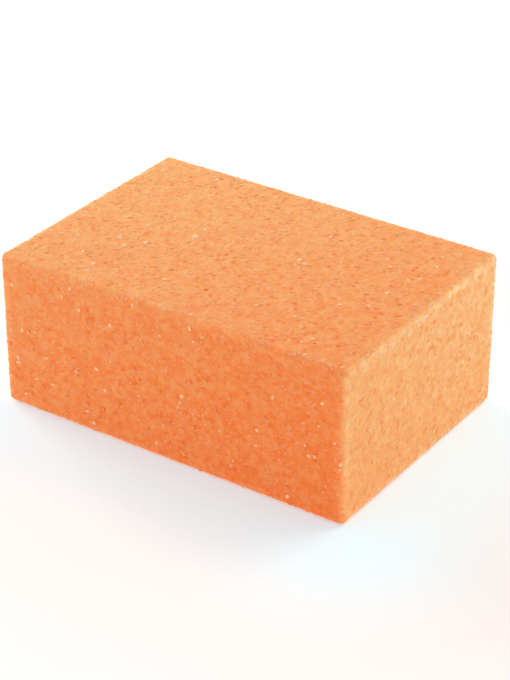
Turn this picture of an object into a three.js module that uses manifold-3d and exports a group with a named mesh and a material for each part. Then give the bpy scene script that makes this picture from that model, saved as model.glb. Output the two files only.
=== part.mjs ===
// Nail buffer block: a soft foam core with a coat of orange grit bonded to each of its six faces.
// Millimetres, +Z up. The origin is the centre of the face that the block rests on, the long side
// runs along X and the short side along Y.

import Module from 'manifold-3d';
import * as THREE from 'three';
import { ConvexGeometry } from 'three/addons/geometries/ConvexGeometry.js';
import { RoundedBoxGeometry } from 'three/addons/geometries/RoundedBoxGeometry.js';
import { mergeVertices } from 'three/addons/utils/BufferGeometryUtils.js';

// Driving dimensions of the finished block, over its grit.
const blockLength = 60;
const blockWidth = 41.5;
const blockHeight = 25;
const edgeRadius = 1;

// Layers, from the outside in.
const gritCoatThickness = 0.4;
const adhesiveThickness = 0.2;

// The coats of neighbouring faces meet on a mitre along the middle of each rounded edge.
const mitreGap = 0.2;

// The film of adhesive is rolled onto the flat of a face and stops short of its rounded edges.
const adhesiveMargin = 0.4;

// The sharpest edge that this foam and its coat can hold.
const sharpestEdge = 0.25;

// How far a cutting solid runs past what it cuts.
const cutOverrun = 1;

// Flats in half of a rounded edge, from the face to the mitre.
const flatsPerHalfEdge = 4;

// Finishes.
const foamFinish = new THREE.MeshStandardMaterial({ color: 0xf7a766, roughness: 0.95, metalness: 0 });
const adhesiveFinish = new THREE.MeshStandardMaterial({ color: 0xf2c27a, roughness: 0.4, metalness: 0 });
const gritFinish = new THREE.MeshStandardMaterial({ color: 0xf59a58, roughness: 0.85, metalness: 0 });

// The six faces: which axis each one looks along, and to which side.
const faces = {
  top: { axis: 'z', side: 1 },
  bottom: { axis: 'z', side: -1 },
  front: { axis: 'y', side: -1 },
  back: { axis: 'y', side: 1 },
  right_end: { axis: 'x', side: 1 },
  left_end: { axis: 'x', side: -1 },
};

const blockSize = new THREE.Vector3(blockLength, blockWidth, blockHeight);
const halfBlock = blockSize.clone().multiplyScalar(1 / 2);

const wasm = await Module();
wasm.setup();

// Turns a closed three.js geometry into a solid that can be cut and joined.
function solidFrom(geometry) {
  const bare = geometry.clone();
  bare.deleteAttribute('normal');
  bare.deleteAttribute('uv');
  const merged = mergeVertices(bare);
  return new wasm.Manifold(new wasm.Mesh({
    numProp: 3,
    vertProperties: merged.attributes.position.array,
    triVerts: Uint32Array.from(merged.index.array),
  }));
}

// Turns a solid back into a three.js geometry.
function geometryFrom(solid) {
  const mesh = solid.getMesh();
  const geometry = new THREE.BufferGeometry();
  geometry.setAttribute('position', new THREE.BufferAttribute(mesh.vertProperties, 3));
  geometry.setIndex(new THREE.BufferAttribute(mesh.triVerts, 1));
  geometry.computeVertexNormals();
  return geometry;
}

// The block with a layer of the given depth taken off all round. Its edges stay concentric with
// the outer ones, down to the sharpest edge that the material holds.
function blockWithin(depth) {
  const size = blockSize.clone().subScalar(2 * depth);
  const radius = Math.max(edgeRadius - depth, sharpestEdge);
  return new RoundedBoxGeometry(size.x, size.y, size.z, flatsPerHalfEdge, radius);
}

// What a face's coat is cut out with: a frustum whose four slanted sides are the mitre planes. They
// run at 45 degrees through the block's sharp corners, less half the gap between two coats.
function mitreFrustum(face) {
  const [across, along] = ['x', 'y', 'z'].filter((axis) => axis !== face.axis);
  const setback = mitreGap / 2 / Math.cos(Math.PI / 4);
  const corners = [];
  for (const reach of [cutOverrun, -edgeRadius]) {
    for (const acrossSide of [-1, 1]) {
      for (const alongSide of [-1, 1]) {
        const corner = new THREE.Vector3();
        corner[face.axis] = face.side * (halfBlock[face.axis] + reach);
        corner[across] = acrossSide * (halfBlock[across] + reach - setback);
        corner[along] = alongSide * (halfBlock[along] + reach - setback);
        corners.push(corner);
      }
    }
  }
  return new ConvexGeometry(corners);
}

// One face's coat of grit: its share of the thin shell round the block, wrapped over the near half
// of each of its four edges.
const gritShell = solidFrom(blockWithin(0)).subtract(solidFrom(blockWithin(gritCoatThickness)));

function gritCoat(name, face) {
  const coat = gritShell.intersect(solidFrom(mitreFrustum(face)));
  const mesh = new THREE.Mesh(geometryFrom(coat), gritFinish);
  mesh.name = `${name}_grit_coat`;
  return mesh;
}

// One face's film of adhesive, flat between the core and the coat.
function adhesiveLayer(name, face) {
  const size = blockSize.clone().subScalar(2 * (edgeRadius + adhesiveMargin));
  size[face.axis] = adhesiveThickness;
  const mesh = new THREE.Mesh(new THREE.BoxGeometry(size.x, size.y, size.z), adhesiveFinish);
  mesh.position[face.axis] =
    face.side * (halfBlock[face.axis] - gritCoatThickness - adhesiveThickness / 2);
  mesh.name = `${name}_adhesive_layer`;
  return mesh;
}

// The foam core, cut from sheet foam with its edges eased.
function foamCore() {
  const mesh = new THREE.Mesh(blockWithin(gritCoatThickness + adhesiveThickness), foamFinish);
  mesh.name = 'foam_core';
  return mesh;
}

// The pieces are made about the block's centre, and the block stands on z = 0.
const block = new THREE.Group();
block.position.z = halfBlock.z;
block.add(foamCore());
for (const [name, face] of Object.entries(faces)) {
  block.add(adhesiveLayer(name, face));
  block.add(gritCoat(name, face));
}

const nailBufferBlock = new THREE.Group();
nailBufferBlock.add(block);

export default nailBufferBlock;
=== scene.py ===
# %% [markdown]
# A nail buffer block
#
# The real thing is a hand-held block of soft open-cell foam, cut from a sheet, with a fine orange
# grit bonded to every face. It is made here in four layers: the foam, the grains of grit on it, the
# films of adhesive inside it, and the studio round it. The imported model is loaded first. It gives
# every size and place in metres, with the block standing on z = 0, so nothing has to be fitted later.

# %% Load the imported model
import math

import bpy
from mathutils import Matrix, Vector


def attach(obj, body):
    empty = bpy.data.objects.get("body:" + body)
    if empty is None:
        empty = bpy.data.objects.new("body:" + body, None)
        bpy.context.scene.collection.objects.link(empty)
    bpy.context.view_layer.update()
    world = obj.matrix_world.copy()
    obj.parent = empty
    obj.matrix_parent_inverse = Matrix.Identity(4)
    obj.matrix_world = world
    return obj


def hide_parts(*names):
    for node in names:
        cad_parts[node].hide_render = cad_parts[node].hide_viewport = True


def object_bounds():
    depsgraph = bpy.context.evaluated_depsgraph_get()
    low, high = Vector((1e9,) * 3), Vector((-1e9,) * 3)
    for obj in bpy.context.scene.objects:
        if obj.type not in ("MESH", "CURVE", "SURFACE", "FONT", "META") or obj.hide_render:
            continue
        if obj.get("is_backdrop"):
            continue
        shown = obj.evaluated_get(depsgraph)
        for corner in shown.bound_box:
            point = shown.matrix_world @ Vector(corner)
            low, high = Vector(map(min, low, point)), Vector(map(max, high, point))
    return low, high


MM = 0.001
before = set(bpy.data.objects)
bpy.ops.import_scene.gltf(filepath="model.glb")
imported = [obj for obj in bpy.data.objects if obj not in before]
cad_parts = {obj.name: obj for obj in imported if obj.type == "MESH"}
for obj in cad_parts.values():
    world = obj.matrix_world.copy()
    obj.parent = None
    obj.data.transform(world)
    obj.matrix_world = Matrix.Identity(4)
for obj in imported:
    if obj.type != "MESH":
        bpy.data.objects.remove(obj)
cad_low, cad_high = (Vector(corner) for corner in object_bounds())
block = cad_high - cad_low
middle = (cad_high + cad_low) / 2
print(f"the block is {block.x / MM:.1f} by {block.y / MM:.1f} by {block.z / MM:.1f} mm")


# %% [markdown]
# Camera
#
# Small things are usually photographed through a long lens from some way off, which keeps upright
# edges nearly upright. A camera could be placed by eye, but then no edge would lie quite where it
# should. So the azimuth, elevation, distance and focal length here were solved from the outline of
# the photographed block. The lens isn't shifted: the camera itself stands a little up and to the right
# of the line to the block. A camera looks down its own -Z axis, so its three axes are worked out
# first and set as a matrix.

# %% Camera
VIEW_AZIMUTH = math.radians(34.56)
VIEW_ELEVATION = math.radians(29.79)
DISTANCE = 13.185 * block.z
STEP_RIGHT = 0.0350 * block.z
STEP_UP = 0.3605 * block.z
PHOTO_HEIGHT_PX = 680
FOCAL_LENGTH_PX = 2183
SENSOR_MM = 36
NEAREST_SHOWN = 10 * MM


def direction(azimuth, elevation):
    """The unit vector at an azimuth, counted from the front round to the right, and an elevation."""
    flat = Vector((math.sin(azimuth), -math.cos(azimuth), 0)) * math.cos(elevation)
    return flat + Vector((0, 0, math.sin(elevation)))


def add_object(name, data):
    """A new object of this name in the scene, at the origin."""
    made = bpy.data.objects.new(name, data)
    bpy.context.scene.collection.objects.link(made)
    return made


back = direction(VIEW_AZIMUTH, VIEW_ELEVATION)
right = Vector((0, 0, 1)).cross(back).normalized()
up = back.cross(right)
eye = back * DISTANCE + right * STEP_RIGHT + up * STEP_UP

camera = add_object("camera", bpy.data.cameras.new("camera"))
camera.matrix_world = Matrix.Translation(eye) @ Matrix((right, up, back)).transposed().to_4x4()
camera.data.sensor_width = SENSOR_MM
camera.data.lens = SENSOR_MM * FOCAL_LENGTH_PX / PHOTO_HEIGHT_PX
camera.data.clip_start = NEAREST_SHOWN
bpy.context.scene.camera = camera
print(f"the camera is {eye.length:.3f} m away, with a {camera.data.lens:.0f} mm lens")


# %% [markdown]
# Helpers for node trees
#
# Materials and Geometry Nodes are both trees of nodes, and a tree is easier to read as a chain of
# short calls. `feed` fills one socket, from another node's output or with a fixed value. `put` adds a
# node and fills its inputs. The others are the handful of sums that the trees below are made of.

# %% Node helpers
def feed(tree, socket, value):
    """Fills a socket from another node's output, or with a fixed value."""
    if isinstance(value, bpy.types.NodeSocket):
        tree.links.new(value, socket)
    else:
        socket.default_value = value


def put(tree, kind, *values, settings=None, **named):
    """Adds a node: values go to its inputs in order, and named ones by name, with _ for a space."""
    node = tree.nodes.new(kind)
    for key, setting in (settings or {}).items():
        setattr(node, key, setting)
    open_sockets = [socket for socket in node.inputs if socket.enabled]
    for socket, value in zip(open_sockets, values):
        feed(tree, socket, value)
    for name, value in named.items():
        feed(tree, next(s for s in open_sockets if s.name == name.replace("_", " ")), value)
    return node


def out(node, name=None):
    """A node's output of this name, or its first one in use."""
    return next(s for s in node.outputs if s.enabled and name in (None, s.name))


print("helpers: feed, put, out")

# %% Sums on numbers and vectors
NOISE_MIDDLE = (0.5, 0.5, 0.5)


def calc(tree, operation, *values):
    """A sum on numbers."""
    return out(put(tree, "ShaderNodeMath", *values, settings={"operation": operation}))


def vector(tree, operation, *values):
    """A sum on vectors."""
    return out(put(tree, "ShaderNodeVectorMath", *values, settings={"operation": operation}))


def parts(tree, value):
    """A vector's three numbers."""
    return put(tree, "ShaderNodeSeparateXYZ", value).outputs[:]


def joined(tree, x, y, z):
    """The vector of three numbers."""
    return out(put(tree, "ShaderNodeCombineXYZ", x, y, z))


def fade(tree, value, start, end, low=0.0, high=1.0):
    """A smooth step from low, where value is at start, to high, where it is at end."""
    settings = {"interpolation_type": "SMOOTHSTEP"}
    return out(put(tree, "ShaderNodeMapRange", value, start, end, low, high, settings=settings))


def noise(tree, place, size, detail=1.0):
    """Soft cloudy noise from 0 to 1, whose clouds are about this size."""
    scale = calc(tree, "DIVIDE", 1.0, size)
    return out(put(tree, "ShaderNodeTexNoise", Vector=place, Scale=scale, Detail=detail))


def shake(tree, place, scale, detail=1.0):
    """A push that changes smoothly from place to place, from -0.5 to 0.5 along each axis."""
    cloud = put(tree, "ShaderNodeTexNoise", Vector=place, Scale=scale, Detail=detail)
    return vector(tree, "SUBTRACT", out(cloud, "Color"), NOISE_MIDDLE)


def mix_colour(tree, share, first, second):
    """The first colour where share is 0 and the second where it is 1."""
    return out(put(tree, "ShaderNodeMix", share, first, second, settings={"data_type": "RGBA"}))


print("helpers: calc, vector, parts, joined, fade, noise, shake, mix_colour")


# %% [markdown]
# The dye
#
# Foam and grit share one orange, which is deeper in some places than in others, and the shade painted
# on them is kept in the same number. They could have a colour each, but the two would soon drift apart.
# So the colour is kept as one number, the depth of the dye and painted shade, from 0 for cream to 1 for
# the deepest orange, and one ramp turns it into a colour.

# %% The dye's ramp
DYE_RAMP = {
    0.0: (0.975, 0.66, 0.34, 1),
    0.3: (0.965, 0.467, 0.166, 1),
    0.5: (0.955, 0.39, 0.131, 1),
    0.8: (0.955, 0.272, 0.073, 1),
    1.0: (0.94, 0.21, 0.04, 1),
}


def dye_colour(tree, depth):
    """The ramp from cream to deep orange."""
    ramp = put(tree, "ShaderNodeValToRGB", depth)
    stops = ramp.color_ramp.elements
    while len(stops) < len(DYE_RAMP):
        stops.new(1.0)
    for stop, (position, colour) in zip(stops, DYE_RAMP.items()):
        stop.position = position
        stop.color = colour
    return out(ramp, "Color")


print(f"the dye has {len(DYE_RAMP)} steps from cream to deep orange")


# %% [markdown]
# The dye isn't equally deep all over, and shade and light are painted into it as well. The long sides
# are drawn deepest, a painted shade, and the right end palest, a painted light, with the top between and
# the left end nearly as deep as the long sides. The colour deepens slowly towards the lower right corner
# in front, a painted fall-off of the light. It is mottled where the foam drank unevenly, and the edges
# are paler, partly worn and partly a painted highlight, the long ones least. These could be layers of
# colour, mixed over one another, but in a plain sum each of them keeps its strength when another one is
# changed. The trees that shape the foam leave three attributes for it: `outward`, the direction that a
# spot faces, and `edge` and `long_edge`, which are 1 on any edge and on a long edge of the block.

# %% Where the dye and the painted shade are deep
# Painted shade and light by face: the long sides drawn deep as if in shade, the right end pale as if lit
# most, the top between, and the left end nearly as deep as the long sides.
TOP_PAINTED_SHADE = 0.56
LONG_SIDE_PAINTED_SHADE = 0.74
RIGHT_END_PAINTED_SHADE = 0.245
LEFT_END_PAINTED_SHADE = 0.65
# Wear and painted highlight: the edges are drawn paler, the long edges less so.
EDGE_WEAR_AND_HIGHLIGHT = 0.2
LONG_EDGE_KEPT = 0.11
# Painted shade: the colour deepens towards the right, the front and the bottom of the block, a painted
# fall-off of the light.
PAINTED_SHADE_DRIFT = Vector((0.18, -0.12, -0.10))
MOTTLE_SIZE = 1.5 * MM
MOTTLE_SWING = 0.17


def attribute(tree, name, output="Fac"):
    """An attribute that Geometry Nodes left on the mesh."""
    return out(put(tree, "ShaderNodeAttribute", settings={"attribute_name": name}), output)


def object_place(tree):
    """The spot that is shaded, in the block's own frame."""
    return out(put(tree, "ShaderNodeTexCoord"), "Object")


def varied(tree, value, swing):
    """A number from 0 to 1, turned into one from -swing to swing."""
    return calc(tree, "MULTIPLY_ADD", value, 2 * swing, -swing)


def painted_shade_by_face(tree):
    """The painted shade of each face, as a depth of dye, blended over the rounded edges."""
    outward = attribute(tree, "outward", "Vector")
    on_right = calc(tree, "GREATER_THAN", parts(tree, outward)[0], 0.0)
    end_painted_shade = calc(tree, "MULTIPLY_ADD", on_right, RIGHT_END_PAINTED_SHADE - LEFT_END_PAINTED_SHADE, LEFT_END_PAINTED_SHADE)
    shares = vector(tree, "MULTIPLY", outward, outward)
    return vector(tree, "DOT_PRODUCT", shares, joined(tree, end_painted_shade, LONG_SIDE_PAINTED_SHADE, TOP_PAINTED_SHADE))


def dye_and_painted_shade(tree):
    """The depth of the dye and painted shade on this spot: the painted shade of its face and of its place
    on the block, the mottle, and the edges paled by wear and painted highlight.
    """
    place = object_place(tree)
    share = vector(tree, "DIVIDE", vector(tree, "SUBTRACT", place, middle), block)
    drift = vector(tree, "DOT_PRODUCT", share, PAINTED_SHADE_DRIFT)
    kept = calc(tree, "MULTIPLY", attribute(tree, "long_edge"), LONG_EDGE_KEPT)
    # The edges are drawn paler, partly as wear and partly as a painted highlight.
    worn_and_lit = calc(tree, "MULTIPLY_ADD", attribute(tree, "edge"), -EDGE_WEAR_AND_HIGHLIGHT, kept)
    mottle = varied(tree, noise(tree, place, MOTTLE_SIZE), MOTTLE_SWING)
    return calc(tree, "ADD", calc(tree, "ADD", painted_shade_by_face(tree), drift),
                calc(tree, "ADD", worn_and_lit, mottle))


# These depths are painted shade by face, printed as depths of dye.
print(f"the dye is {TOP_PAINTED_SHADE} deep on the top and {LONG_SIDE_PAINTED_SHADE} deep on the long sides")


# %% [markdown]
# Foam finish
#
# The walls of the cells differ a little in tone. An open pore is drawn deeper and redder, a painted
# shade for the light that bounces round inside it before it comes out. Fine noise gives the cell walls
# their tooth. Light also soaks into foam and comes out again some way off, furthest in red and least in
# blue, which is called subsurface scattering. It could be on all over. But on the flats, as much light
# leaves a spot as comes to it from round about, so nothing shows. On an edge it does: the red light of
# both faces meets there and lifts the shade between them. So the foam scatters only where the attribute
# `edge` says, which also keeps the grain of the flats crisp and the picture clean. Of the methods for
# it, the one set here leaves the least noise.

# %% Foam material
PORE_PAINTED_SHADE = 0.18
CELL_VARIATION = 0.13
TOOTH_SIZE = 0.12 * MM
TOOTH_DETAIL = 2.0
TOOTH_DEPTH = 0.03 * MM
TOOTH_VARIATION = 0.06
FOAM_ROUGHNESS = 0.8
FOAM_SHINE = 0.2
SOAK_DISTANCE = 8 * MM
SOAK_SHARES = (1, 0.2, 0.1)


def new_material(name, roughness, shine):
    """A material, its tree and its one Principled shader, with this roughness and this much shine."""
    material = bpy.data.materials.new(name)
    material.use_nodes = True
    shader = material.node_tree.nodes["Principled BSDF"]
    shader.inputs["Roughness"].default_value = roughness
    shader.inputs["Specular IOR Level"].default_value = shine
    return material, material.node_tree, shader


def foam_material():
    """Dyed foam with painted shade, toothed cell walls and deep pores painted darker, whose edges let the
    light soak through.
    """
    material, tree, shader = new_material("orange_foam", FOAM_ROUGHNESS, FOAM_SHINE)
    tooth = noise(tree, object_place(tree), TOOTH_SIZE, TOOTH_DETAIL)
    depth = calc(tree, "ADD", dye_and_painted_shade(tree), varied(tree, attribute(tree, "tone"), CELL_VARIATION))
    depth = calc(tree, "ADD", depth, varied(tree, tooth, -TOOTH_VARIATION))
    # Painted shade: open pores are drawn deeper and redder.
    depth = calc(tree, "ADD", depth, calc(tree, "MULTIPLY", attribute(tree, "pore"), PORE_PAINTED_SHADE))
    feed(tree, shader.inputs["Base Color"], dye_colour(tree, depth))
    bump = put(tree, "ShaderNodeBump", Height=tooth, Distance=TOOTH_DEPTH)
    feed(tree, shader.inputs["Normal"], out(bump))
    shader.subsurface_method = "BURLEY"
    feed(tree, shader.inputs["Subsurface Weight"], attribute(tree, "edge"))
    shader.inputs["Subsurface Radius"].default_value = SOAK_SHARES
    shader.inputs["Subsurface Scale"].default_value = SOAK_DISTANCE
    return material


foam_finish = foam_material()
print(foam_finish.name, "has", len(foam_finish.node_tree.nodes), "nodes")


# %% [markdown]
# Foam block
#
# A block of foam follows a rule, so it is grown by Geometry Nodes: a box with an even grid on every
# face, its edges rounded, and its surface sunk wherever a cell was cut open. The box could also be
# rounded with a Bevel, but then the grid would bunch up in the corners. Here every point is pulled to
# the nearest place of a smaller box and pushed out again by the radius, which leaves the flats as they
# were. The foam is one closed solid, as the real block is one piece cut from a sheet.

# %% Helpers for Geometry Nodes
def new_tree(name, inputs):
    """A Geometry Nodes tree with these named inputs and one Geometry output."""
    tree = bpy.data.node_groups.new(name, "GeometryNodeTree")
    for label, kind in inputs.items():
        tree.interface.new_socket(label, in_out="INPUT", socket_type=f"NodeSocket{kind}")
    tree.interface.new_socket("Geometry", in_out="OUTPUT", socket_type="NodeSocketGeometry")
    return tree, tree.nodes.new("NodeGroupInput").outputs


def here(tree):
    """The place of each point of the mesh."""
    return out(put(tree, "GeometryNodeInputPosition"))


def made_real(tree, geometry):
    """Every instance turned into a mesh of its own."""
    return out(put(tree, "GeometryNodeRealizeInstances", geometry))


def finish_tree(tree, geometry, material):
    """Ends a tree with one material and the tree's output."""
    put(tree, "NodeGroupOutput", out(put(tree, "GeometryNodeSetMaterial", geometry, Material=material)))


def run_tree(tree, name, **values):
    """The plain mesh that a tree makes from these inputs."""
    holder = add_object(name, bpy.data.meshes.new(name))
    modifier = holder.modifiers.new(name, "NODES")
    modifier.node_group = tree
    for socket in tree.interface.items_tree:
        if socket.in_out == "INPUT":
            modifier[socket.identifier] = values[socket.name.replace(" ", "_")]
    graph = bpy.context.evaluated_depsgraph_get()
    mesh = bpy.data.meshes.new_from_object(holder.evaluated_get(graph), depsgraph=graph)
    empty = holder.data
    bpy.data.objects.remove(holder)
    bpy.data.meshes.remove(empty)
    mesh.name = name
    return mesh


def store(tree, geometry, name, value, kind="FLOAT", domain="POINT"):
    """Keeps a value on the mesh, as an attribute that a material or another tree can read."""
    settings = {"data_type": kind, "domain": domain}
    return out(put(tree, "GeometryNodeStoreNamedAttribute", geometry, Name=name, Value=value,
                   settings=settings))


def stored(tree, name, kind="FLOAT"):
    """The value of an attribute that was kept earlier."""
    return out(put(tree, "GeometryNodeInputNamedAttribute", name, settings={"data_type": kind}))


print("helpers: new_tree, here, made_real, finish_tree, run_tree, store, stored")


# %% [markdown]
# The grid's own map of the box, laid out as a net of six faces, is kept under the name OFBake, so the
# colours can be baked onto it without another unwrapping.

# %% A rounded box with an even grid
def distance_to_edges(tree, place, half):
    """How far a place on a box is from its nearest edge, and from its nearest edge along X."""
    x, y, z = parts(tree, vector(tree, "SUBTRACT", half, vector(tree, "ABSOLUTE", place)))
    along_z, along_x, along_y = (calc(tree, "MAXIMUM", *pair) for pair in ((x, y), (y, z), (z, x)))
    nearest = calc(tree, "MINIMUM", calc(tree, "MINIMUM", along_z, along_x), along_y)
    return nearest, along_x


def rounded_box(tree, size):
    """The box, rounded, with its net and the attributes `outward`, `edge` and `long_edge`."""
    step, radius, band = size["Grid Step"], size["Edge Radius"], size["Edge Band"]
    count = parts(tree, vector(tree, "DIVIDE", size["Block"], joined(tree, step, step, step)))
    box = put(tree, "GeometryNodeMeshCube", size["Block"], *count)
    tagged = store(tree, out(box, "Mesh"), "OFBake", out(box, "UV Map"), "FLOAT2", "CORNER")
    place = here(tree)
    half = vector(tree, "SCALE", size["Block"], 0.5)
    limit = vector(tree, "SUBTRACT", half, joined(tree, radius, radius, radius))
    nearest = vector(tree, "MAXIMUM", vector(tree, "MINIMUM", place, limit),
                     vector(tree, "SCALE", limit, -1.0))
    outward = vector(tree, "NORMALIZE", vector(tree, "SUBTRACT", place, nearest))
    tagged = store(tree, tagged, "outward", outward, "FLOAT_VECTOR")
    to_edge, to_long_edge = distance_to_edges(tree, place, half)
    tagged = store(tree, tagged, "edge", fade(tree, to_edge, band, 0.0))
    tagged = store(tree, tagged, "long_edge", fade(tree, to_long_edge, band, 0.0))
    pushed = vector(tree, "SCALE", stored(tree, "outward", "FLOAT_VECTOR"), radius)
    moved = vector(tree, "ADD", nearest, pushed)
    return out(put(tree, "GeometryNodeSetPosition", tagged, Position=moved))


print(f"a sharp edge of the box moves in by {(math.sqrt(2) - 1) * 100:.0f}% of the radius")


# %% [markdown]
# The cells come from a texture of random cells that fills space, so they run on round the edges as
# they do in real foam. A flat pattern laid on each face would break off there. Its coordinates are
# shaken with noise first, or the cells would all be plain rounded polygons, and an offset picks the
# stretch of the endless texture that the block is cut from. Every cell is a shallow cup, and a share of
# them, drawn from the cell's own random colour, are open pores.

# %% Cells and pores
CUP_RIM = 0.7
CUP_FLOOR = 0.15


def cut_cells(tree, size, geometry):
    """Sinks the surface over each cut cell, and keeps `tone` and `pore` for the material."""
    place = vector(tree, "ADD", here(tree), size["Offset"])
    scale = calc(tree, "DIVIDE", 1.0, size["Cell Size"])
    push = vector(tree, "SCALE", shake(tree, place, scale), size["Cell Size"])
    cells = put(tree, "ShaderNodeTexVoronoi", Vector=vector(tree, "ADD", place, push), Scale=scale)
    draw, tone, _ = parts(tree, out(cells, "Color"))
    cup = fade(tree, out(cells, "Distance"), CUP_RIM, CUP_FLOOR)
    opened = calc(tree, "MULTIPLY", cup, calc(tree, "LESS_THAN", draw, size["Pore Share"]))
    depth = calc(tree, "ADD", calc(tree, "MULTIPLY", cup, size["Cup Depth"]),
                 calc(tree, "MULTIPLY", opened, size["Pore Depth"]))
    toned = store(tree, store(tree, geometry, "tone", tone), "pore", opened)
    inward = vector(tree, "SCALE", stored(tree, "outward", "FLOAT_VECTOR"),
                    calc(tree, "MULTIPLY", depth, -1.0))
    return out(put(tree, "GeometryNodeSetPosition", toned, Offset=inward))


def foam_tree():
    """The tree of the whole body: the rounded box with its cells cut, smoothly shaded."""
    tree, size = new_tree("foam_body", {
        "Block": "Vector", "Edge Radius": "Float", "Grid Step": "Float", "Edge Band": "Float",
        "Cell Size": "Float", "Cup Depth": "Float", "Pore Share": "Float", "Pore Depth": "Float",
        "Offset": "Vector", "Material": "Material",
    })
    sunk = cut_cells(tree, size, rounded_box(tree, size))
    smooth = out(put(tree, "GeometryNodeSetShadeSmooth", sunk))
    finish_tree(tree, made_real(tree, smooth), size["Material"])
    return tree


foam_body = foam_tree()
print("the foam tree has", len(foam_body.nodes), "nodes")


# %% [markdown]
# The grains will stand a tenth of a millimetre above the foam, so the foam is grown smaller by that
# much all round, and the finished block keeps the size of the imported one. The grid is fine enough to
# give each pore a few points of its own. The foam stands for the imported core, which is hidden.

# %% Grow the foam
GRAIN_RISE = 0.1 * MM
EDGE_RADIUS = 1.0 * MM
GRID_STEP = 0.18 * MM
EDGE_BAND = 2.2 * MM
CELL_SIZE = 0.75 * MM
CUP_DEPTH = 0.045 * MM
PORE_SHARE = 0.16
PORE_DEPTH = 0.12 * MM
PATTERN_OFFSET = (0.31, 0.17, 0.05)
BOTH_SIDES = Vector((2, 2, 2))

foam_mesh = run_tree(
    foam_body, "foam_block", Block=block - BOTH_SIDES * GRAIN_RISE,
    Edge_Radius=EDGE_RADIUS - GRAIN_RISE, Grid_Step=GRID_STEP, Edge_Band=EDGE_BAND,
    Cell_Size=CELL_SIZE, Cup_Depth=CUP_DEPTH, Pore_Share=PORE_SHARE, Pore_Depth=PORE_DEPTH,
    Offset=PATTERN_OFFSET, Material=foam_finish,
)
foam_mesh.transform(Matrix.Translation(middle))
foam_block = add_object("foam_block", foam_mesh)
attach(foam_block, "root")
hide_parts("foam_core")
print(f"the foam has {len(foam_mesh.polygons)} faces")


# %% [markdown]
# Grit finish
#
# A grain of grit is a hard, sharp-cornered splinter set in dyed resin. It is glossier than the foam, so
# it catches the light. Every grain has the dye and painted shade of the foam round it, made more or less
# pale, partly by real dusting and partly as painted light that lifts the shaded sides of the grain, which
# makes the soft pale dots of the real thing. A few larger ones are more than half bare and cream, and
# their cream also stands in for sparkle, a painted glint. That could take several materials, but one
# does it all: each grain carries a random number, its `tone`, which sets how pale it is made, and a
# second one, `bare`, which is 1 on the cream grains that stand in for sparkle.

# %% Grit material
MOST_DUST_AND_LIFT = 0.2
# Cream of bare grit that also stands in for sparkle, a painted glint.
MOST_BARE_AND_GLINT = 0.6
BARE_AND_GLINT_COLOUR = (0.98, 0.76, 0.46, 1)
GRIT_ROUGHNESS = 0.4
GRIT_SHINE = 0.4


def grit_material():
    """Grains in the dye and painted shade of the foam round them, made paler by dusting and painted
    light, and a few bare and cream, as a painted glint.
    """
    material, tree, shader = new_material("orange_grit", GRIT_ROUGHNESS, GRIT_SHINE)
    # Paling that is partly dusting and partly painted light on the shaded sides of the grains.
    dust_and_lift = calc(tree, "MULTIPLY", attribute(tree, "tone"), MOST_DUST_AND_LIFT)
    pale = calc(tree, "MAXIMUM", dust_and_lift, calc(tree, "MULTIPLY", attribute(tree, "bare"), MOST_BARE_AND_GLINT))
    colour = mix_colour(tree, pale, dye_colour(tree, dye_and_painted_shade(tree)), BARE_AND_GLINT_COLOUR)
    feed(tree, shader.inputs["Base Color"], colour)
    return material


grit_finish = grit_material()
print(grit_finish.name, "has", len(grit_finish.node_tree.nodes), "nodes")


# %% [markdown]
# Grit coats
#
# Grains repeat by the thousand. A particle system could spread them too, but here they are instances
# of one splinter of 20 faces, scattered over the foam by Geometry Nodes with a fixed seed, and made
# real at the end, so that every run gives the same grains and the export gets true meshes. A grain
# that is spread in wet resin settles on its broad side, so each lies nearly flat, turned and stretched
# at random. Each face of the block has a coat of its own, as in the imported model. It takes the spots
# that face its way, which brings it nearly half round each rounded edge, where the next one starts.

# %% One grain
GRAIN_BUMPS = 3.0
GRAIN_DETAIL = 2.0
MOST_TILT = 0.15
LEAST_STRETCH = (0.7, 0.7, 0.2)
MOST_STRETCH = (1.4, 1.4, 0.4)


def splinter(tree):
    """One grain, about 1 across: a 20-faced ball with its corners pushed about."""
    ball = put(tree, "GeometryNodeMeshIcoSphere", Radius=0.5, Subdivisions=1)
    push = shake(tree, here(tree), GRAIN_BUMPS, GRAIN_DETAIL)
    return out(put(tree, "GeometryNodeSetPosition", out(ball, "Mesh"), Offset=push))


def random_value(tree, kind, low, high, seed):
    """A random number or vector for each point, drawn with a fixed seed."""
    settings = {"data_type": kind}
    return out(put(tree, "FunctionNodeRandomValue", low, high, Seed=seed, settings=settings))


def lying(tree, upright, seed):
    """A grain's turn: any way round, and tilted a little from lying flat."""
    turn = random_value(tree, "FLOAT_VECTOR", (-MOST_TILT, -MOST_TILT, 0),
                        (MOST_TILT, MOST_TILT, math.tau), seed)
    settings = {"rotation_space": "LOCAL"}
    return out(put(tree, "FunctionNodeRotateRotation", upright, turn, settings=settings))


def grown(tree, size, bare):
    """A grain's width, length and height, drawn at random, and larger on a bare grain."""
    stretch = random_value(tree, "FLOAT_VECTOR", LEAST_STRETCH, MOST_STRETCH, size["Seed"])
    growth = calc(tree, "MULTIPLY_ADD", bare, size["Bare Growth"], 1.0)
    return vector(tree, "SCALE", stretch, calc(tree, "MULTIPLY", growth, size["Grain Size"]))


print(f"a grain tilts by up to {math.degrees(MOST_TILT):.0f} degrees each way")


# %% [markdown]
# A real coat is one grain deep, so the points keep a least gap, and they leave out the open pores,
# where a grain would fall in. They take the foam's attributes with them, so each grain knows the dye
# under it. A grain that stands too high is pressed level with the block's box, as the roller does when
# the coat is laid. Grains are too small to unwrap one by one, so all of them on a face share a map that
# says where on that face they lie, which is enough to bake their colours.

# %% Scatter grains over one face
MOST_OPEN = 0.3


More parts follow.
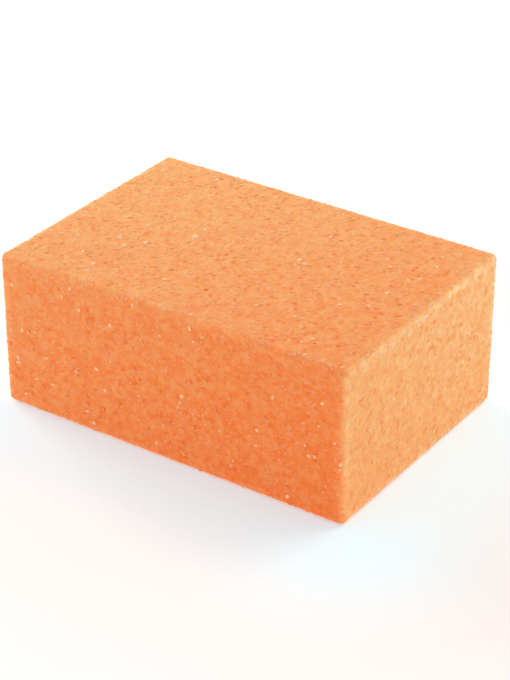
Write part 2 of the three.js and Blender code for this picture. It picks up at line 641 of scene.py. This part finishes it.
def spread_points(tree, size):
    """Points on the foam's closed cells that face one way, a gap apart, and which way is up there."""
    foam = out(put(tree, "GeometryNodeObjectInfo", size["Foam"]), "Geometry")
    towards = vector(tree, "DOT_PRODUCT", stored(tree, "outward", "FLOAT_VECTOR"), size["Facing"])
    facing = calc(tree, "GREATER_THAN", towards, size["Least Facing"])
    closed = calc(tree, "LESS_THAN", stored(tree, "pore"), MOST_OPEN)
    spots = put(tree, "GeometryNodeDistributePointsOnFaces", foam,
                Selection=calc(tree, "MULTIPLY", facing, closed), Distance_Min=size["Least Gap"],
                Density_Max=size["Density"], Seed=size["Seed"],
                settings={"distribute_method": "POISSON"})
    return out(spots, "Points"), out(spots, "Rotation")


def press_and_map(tree, size, grains):
    """Presses the grains level with the block's box, and keeps where each one lies on its face."""
    place = here(tree)
    pressed = vector(tree, "MINIMUM", vector(tree, "MAXIMUM", place, size["Lowest"]), size["Highest"])
    level = out(put(tree, "GeometryNodeSetPosition", grains, Position=pressed))
    reach = vector(tree, "SUBTRACT", size["Highest"], size["Lowest"])
    share = vector(tree, "DIVIDE", vector(tree, "SUBTRACT", place, size["Lowest"]), reach)
    spot = joined(tree, vector(tree, "DOT_PRODUCT", share, size["Along"]),
                  vector(tree, "DOT_PRODUCT", share, size["Across"]), 0.0)
    return store(tree, level, "OFBake", spot, "FLOAT2", "CORNER")


def coat_tree():
    """The tree of one coat: points spread over a face, and a grain on each."""
    tree, size = new_tree("grit_coat", {
        "Foam": "Object", "Facing": "Vector", "Along": "Vector", "Across": "Vector",
        "Least Facing": "Float", "Lowest": "Vector", "Highest": "Vector", "Density": "Float",
        "Least Gap": "Float", "Grain Size": "Float", "Bare Share": "Float", "Bare Growth": "Float",
        "Seed": "Int", "Material": "Material",
    })
    spots, upright = spread_points(tree, size)
    toned = store(tree, spots, "tone", random_value(tree, "FLOAT", 0.0, 1.0, size["Seed"]))
    bare = fade(tree, stored(tree, "tone"), 0.0, size["Bare Share"], 1.0, 0.0)
    points = store(tree, toned, "bare", bare)
    grains = put(tree, "GeometryNodeInstanceOnPoints", points, Instance=splinter(tree),
                 Rotation=lying(tree, upright, size["Seed"]), Scale=grown(tree, size, bare))
    finish_tree(tree, press_and_map(tree, size, made_real(tree, out(grains))), size["Material"])
    return tree


grit_scatter = coat_tree()
print("the grit tree has", len(grit_scatter.nodes), "nodes")


# %% [markdown]
# One tree makes all six coats. It is told which way each face looks and the two directions of its map,
# and it gets a seed of its own, so that no two faces have the same grains. Each coat stands for the
# packed coat of its face.

# %% Coat the six faces
LEAST_FACING = math.cos(math.radians(42))
DENSITY = 1.7 / MM**2
LEAST_GAP = 0.45 * MM
GRAIN_SIZE = 0.4 * MM
BARE_SHARE = 0.06
BARE_GROWTH = 0.5
GRAIN_FACES = 20
X, Y, Z = Vector((1, 0, 0)), Vector((0, 1, 0)), Vector((0, 0, 1))
# For each face: the way that it faces, and the directions along and across it.
FACES = {
    "top": (Z, X, Y), "bottom": (-Z, X, Y), "front": (-Y, X, Z), "back": (Y, X, Z),
    "right_end": (X, Y, Z), "left_end": (-X, Y, Z),
}
for seed, (face, (facing, along, across)) in enumerate(FACES.items()):
    coat_mesh = run_tree(
        grit_scatter, f"{face}_grit", Foam=foam_block, Facing=facing, Along=along, Across=across,
        Least_Facing=LEAST_FACING, Lowest=cad_low, Highest=cad_high, Density=DENSITY,
        Least_Gap=LEAST_GAP, Grain_Size=GRAIN_SIZE, Bare_Share=BARE_SHARE, Bare_Growth=BARE_GROWTH,
        Seed=seed, Material=grit_finish,
    )
    coat = add_object(f"{face}_grit", coat_mesh)
    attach(coat, "root")
    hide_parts(f"{face}_grit_coat")
    print(f"{face}: {len(coat_mesh.polygons) // GRAIN_FACES} grains")


# %% [markdown]
# Adhesive finish
#
# Under each coat lies a film of cured adhesive, which shows only when a worn coat is peeled off. It
# was rolled on, so it is amber, fairly glossy, thicker in some places than in others, and a little
# uneven to the touch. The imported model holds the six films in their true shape. They could be made
# anew here, but nothing would be gained, so they keep that shape and only get a finish. Cloudy noise
# in the block's own frame sets the depth of the amber, the bump and the roughness alike, because
# thick adhesive is darker as well as higher, and dries a little duller.

# %% Adhesive material
THIN_AMBER = (0.9, 0.62, 0.26, 1)
THICK_AMBER = (0.78, 0.42, 0.12, 1)
ROLLED_PATCH = 3 * MM
ROLLED_DETAIL = 3.0
ROLLED_DEPTH = 0.02 * MM
THIN_ROUGHNESS = 0.25
THICK_ROUGHNESS = 0.45
ADHESIVE_SHINE = 0.5


def adhesive_material():
    """Amber adhesive, rolled on unevenly."""
    material, tree, shader = new_material("amber_adhesive", THIN_ROUGHNESS, ADHESIVE_SHINE)
    rolled = noise(tree, object_place(tree), ROLLED_PATCH, ROLLED_DETAIL)
    feed(tree, shader.inputs["Base Color"], mix_colour(tree, rolled, THIN_AMBER, THICK_AMBER))
    bump = put(tree, "ShaderNodeBump", Height=rolled, Distance=ROLLED_DEPTH)
    feed(tree, shader.inputs["Normal"], out(bump))
    roughness = fade(tree, rolled, 0.0, 1.0, THIN_ROUGHNESS, THICK_ROUGHNESS)
    feed(tree, shader.inputs["Roughness"], roughness)
    return material


adhesive_finish = adhesive_material()
films = [node for name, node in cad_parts.items() if name.endswith("_adhesive_layer")]
for film in films:
    film.material_slots[0].material = adhesive_finish
print(f"{len(films)} films of adhesive have their finish")


# %% [markdown]
# Floor
#
# The block lies on white paper on a glowing table, as small products are often photographed. The
# glow lifts the foot of each side. Plain paper under brighter lamps would be simpler, but the paper is
# to show pure white but for the shadow. So where the camera sees the paper, straight or in a
# reflection, it glows by another amount, which puts no more light on the block. Near the block this
# glow has little red in it, which paints out most of the orange light that the block throws on the
# paper and deepens the shadow there: painted shade. Further off it is slightly warm, a painted tint
# for the shadow, and beyond that it brings the paper to white.

# %% Floor
FLOOR_REACH = 0.6
PAPER = (0.9, 0.9, 0.9, 1)
TABLE_GLOW = (0.37, 0.37, 0.37, 1)
# Painted shade on the floor: the seen glow near the block and a little further off.
SEEN_GLOW_NEAR_PAINTED_SHADE = (0.095, 0.285, 0.345, 1)
SEEN_GLOW_FAR_PAINTED_SHADE = (0.2, 0.14, 0.11, 1)
SEEN_GLOW_BEYOND = (0.4, 0.4, 0.4, 1)
NEAR_REACH = 30 * MM
FAR_REACH = 160 * MM


def seen_ray(tree):
    """1 for a ray from the camera, straight or by way of a reflection or glass, and otherwise 0."""
    path = put(tree, "ShaderNodeLightPath")
    mirrored = calc(tree, "MAXIMUM", out(path, "Is Glossy Ray"), out(path, "Is Transmission Ray"))
    return calc(tree, "MAXIMUM", out(path, "Is Camera Ray"), mirrored)


def floor_material():
    """Matt white paper that glows, by one amount for the block and by another for the camera, with
    painted shade near the block.
    """
    material, tree, shader = new_material("pale_floor", roughness=1, shine=0)
    off_centre = vector(tree, "ABSOLUTE", vector(tree, "SUBTRACT", object_place(tree), middle))
    beyond = vector(tree, "MAXIMUM", vector(tree, "SUBTRACT", off_centre, block / 2), (0, 0, 0))
    distance = vector(tree, "LENGTH", beyond)
    seen = mix_colour(tree, fade(tree, distance, 0.0, NEAR_REACH), SEEN_GLOW_NEAR_PAINTED_SHADE, SEEN_GLOW_FAR_PAINTED_SHADE)
    seen = mix_colour(tree, fade(tree, distance, NEAR_REACH, FAR_REACH), seen, SEEN_GLOW_BEYOND)
    shader.inputs["Base Color"].default_value = PAPER
    feed(tree, shader.inputs["Emission Color"], mix_colour(tree, seen_ray(tree), TABLE_GLOW, seen))
    shader.inputs["Emission Strength"].default_value = 1
    return material


corners = [(-1, -1, 0), (1, -1, 0), (1, 1, 0), (-1, 1, 0)]
floor_mesh = bpy.data.meshes.new("floor")
floor_mesh.from_pydata([Vector(c) * FLOOR_REACH for c in corners], [], [(0, 1, 2, 3)])
floor_mesh.materials.append(floor_material())
floor = add_object("floor", floor_mesh)
floor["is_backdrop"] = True
print(f"the floor reaches {FLOOR_REACH} m each way")


# %% [markdown]
# Light
#
# A matt block shows no clear reflections, so it needs no picture of a studio round it: a plain sky and
# two large soft lamps are enough, and each can be set by itself. The light comes mostly from the white
# sky and the glowing table, so all sides are well lit, and the lamps shape the block. One stands high
# behind it to the right and throws the soft shadow forward and to the left. The other stands low on
# the left, a little further back than the middle of the block. It lights the left end and also the
# floor just in front of it, so the shadow at the foot of the long side is deepest towards the right.
# The light is plain white at a plain level, so each dye renders about as it is written.

# %% Sky
SKY_LEVEL = 0.7
scene = bpy.context.scene
scene.view_settings.view_transform = "Standard"


def sky():
    """A white sky that lights the block at one level and is seen at full white."""
    world = bpy.data.worlds.new("studio")
    world.use_nodes = True
    tree = world.node_tree
    background = tree.nodes["Background"]
    background.inputs["Color"].default_value = (1, 1, 1, 1)
    feed(tree, background.inputs["Strength"], fade(tree, seen_ray(tree), 0.0, 1.0, SKY_LEVEL, 1.0))
    return world


scene.world = sky()
print(f"the sky shines at {SKY_LEVEL} and is seen as white")

# %% Lamps
LAMP_DISTANCE = 0.6
LAMP_SIDE = 0.3
LAMPS = {"back_lamp": (150, 50, 0.7), "left_lamp": (-102, 20, 1.64)}


def softbox(name, azimuth, elevation, power):
    """A square soft lamp that shines on the block from this azimuth and elevation, in degrees."""
    light = bpy.data.lights.new(name, "AREA")
    light.shape = "SQUARE"
    light.size = LAMP_SIDE
    light.energy = power
    lamp = add_object(name, light)
    towards = direction(math.radians(azimuth), math.radians(elevation))
    lamp.location = towards * LAMP_DISTANCE + middle
    lamp.rotation_euler = towards.to_track_quat("Z", "Y").to_euler()


for name, (azimuth, elevation, power) in LAMPS.items():
    softbox(name, azimuth, elevation, power)
    print(f"{name}: {power} W from azimuth {azimuth} and elevation {elevation} degrees")


# %% [markdown]
# Measure
#
# The finished pieces must not change the block's size, so the box round them is printed, to set beside
# the box of the imported model that was printed at the start.

# %% Measure
lowest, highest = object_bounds()
finished = " by ".join(f"{(high - low) / MM:.2f}" for low, high in zip(lowest, highest))
print(f"the finished block is {finished} mm")
